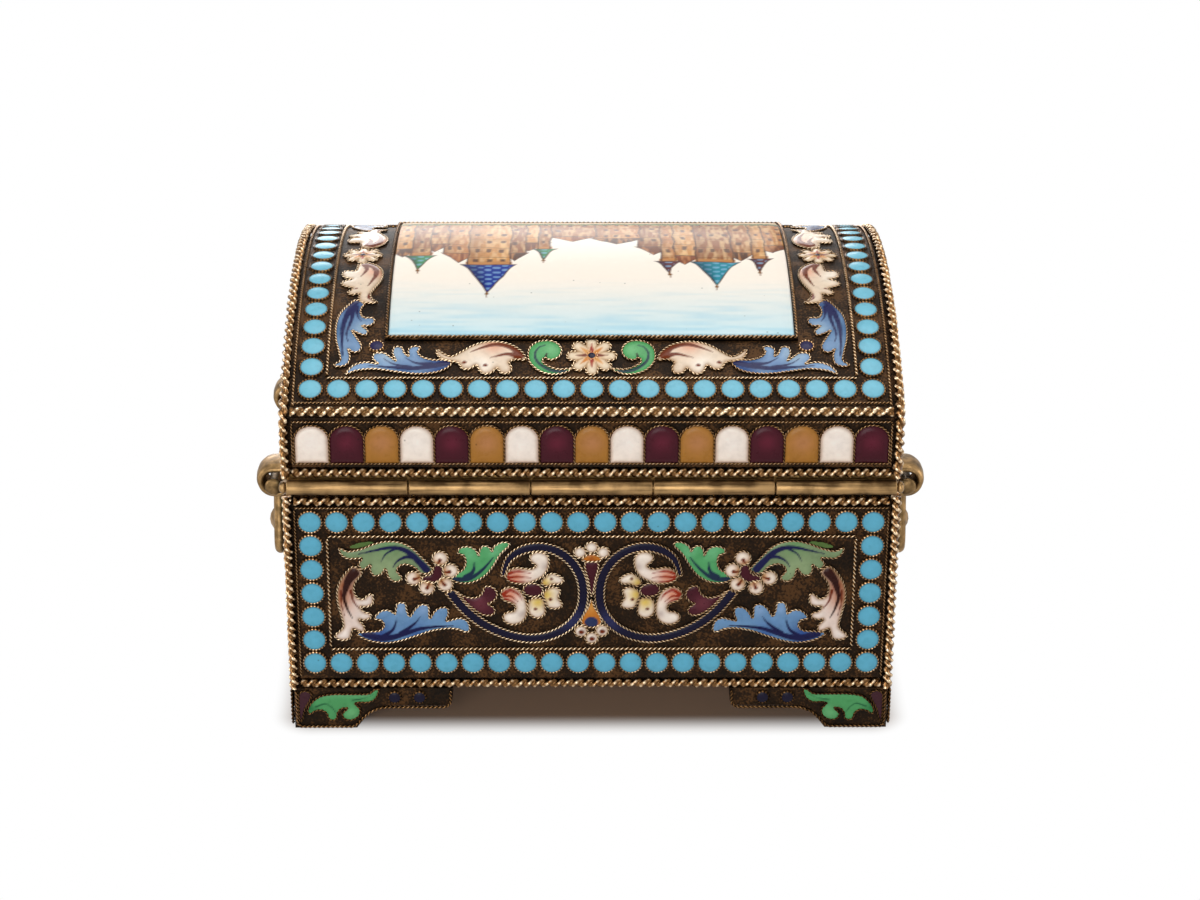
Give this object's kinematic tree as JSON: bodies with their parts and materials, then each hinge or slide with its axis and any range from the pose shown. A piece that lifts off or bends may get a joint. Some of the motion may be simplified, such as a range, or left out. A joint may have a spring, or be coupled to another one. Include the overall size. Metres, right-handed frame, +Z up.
{
  "type": "cloisonne casket",
  "caption": "Small domed casket with enamelled walls, rope mouldings, bracket feet, a barrel lid on a tube hinge and a drop handle on each end.",
  "frame": {"origin": "on the floor under the middle of the whole outline", "axes": "+X to the right end as seen from the front, front towards -Y, hinge towards +Y, +Z up"},
  "size_m": [0.0896, 0.0666, 0.0558],
  "materials": {
    "enamelled_sheet": "cloisonne enamel on a dark oxidised ground",
    "plaque_enamel": "polished painted enamel",
    "rope_gilt": "antique gilt, worn on the high points",
    "smooth_gilt": "satin gilt"
  },
  "bodies": {
    "body": {"base_plate": "smooth_gilt", "front_wall": "enamelled_sheet", "back_wall": "enamelled_sheet", "left_wall": "enamelled_sheet", "right_wall": "enamelled_sheet", "inner_rim": "smooth_gilt", "base_rope_front": "rope_gilt", "base_rope_back": "rope_gilt", "base_rope_left": "rope_gilt", "base_rope_right": "rope_gilt", "mouth_rope_front": "rope_gilt", "mouth_rope_back": "rope_gilt", "mouth_rope_left": "rope_gilt", "mouth_rope_right": "rope_gilt", "corner_rope_front_left": "rope_gilt", "corner_rope_front_right": "rope_gilt", "corner_rope_back_left": "rope_gilt", "corner_rope_back_right": "rope_gilt", "foot_front_left": "rope_gilt", "foot_front_right": "rope_gilt", "foot_back_left": "rope_gilt", "foot_back_right": "rope_gilt", "hinge_knuckle_1": "smooth_gilt", "hinge_knuckle_3": "smooth_gilt", "hinge_knuckle_5": "smooth_gilt", "hinge_pin": "smooth_gilt", "lug_front_left": "smooth_gilt", "lug_front_right": "smooth_gilt", "lug_back_left": "smooth_gilt", "lug_back_right": "smooth_gilt"},
    "lid": {"lid_front_wall": "enamelled_sheet", "lid_back_wall": "enamelled_sheet", "lid_left_wall": "enamelled_sheet", "lid_right_wall": "enamelled_sheet", "dome_plate": "enamelled_sheet", "plaque": "plaque_enamel", "plaque_bezel": "rope_gilt", "lid_rope_front": "rope_gilt", "lid_rope_back": "rope_gilt", "lid_rope_left": "rope_gilt", "lid_rope_right": "rope_gilt", "spring_rope_front": "rope_gilt", "spring_rope_back": "rope_gilt", "arch_rope_left": "rope_gilt", "arch_rope_right": "rope_gilt", "hinge_knuckle_2": "smooth_gilt", "hinge_knuckle_4": "smooth_gilt", "thumbpiece": "smooth_gilt"},
    "left_handle": {"handle_left": "smooth_gilt"},
    "right_handle": {"handle_right": "smooth_gilt"}
  },
  "joints": [
    {"name": "lid_hinge", "type": "hinge", "parent": "body", "child": "lid", "pos_m": [0, 0.0323, 0.03565], "axis": [-1, 0, 0], "range_deg": [0, 105]},
    {"name": "left_handle_swing", "type": "hinge", "parent": "body", "child": "left_handle", "pos_m": [-0.04235, 0.001, 0.02815], "axis": [0, 1, 0], "range_deg": [0, 180]},
    {"name": "right_handle_swing", "type": "hinge", "parent": "body", "child": "right_handle", "pos_m": [0.04235, 0.001, 0.02815], "axis": [0, -1, 0], "range_deg": [0, 180]}
  ]
}
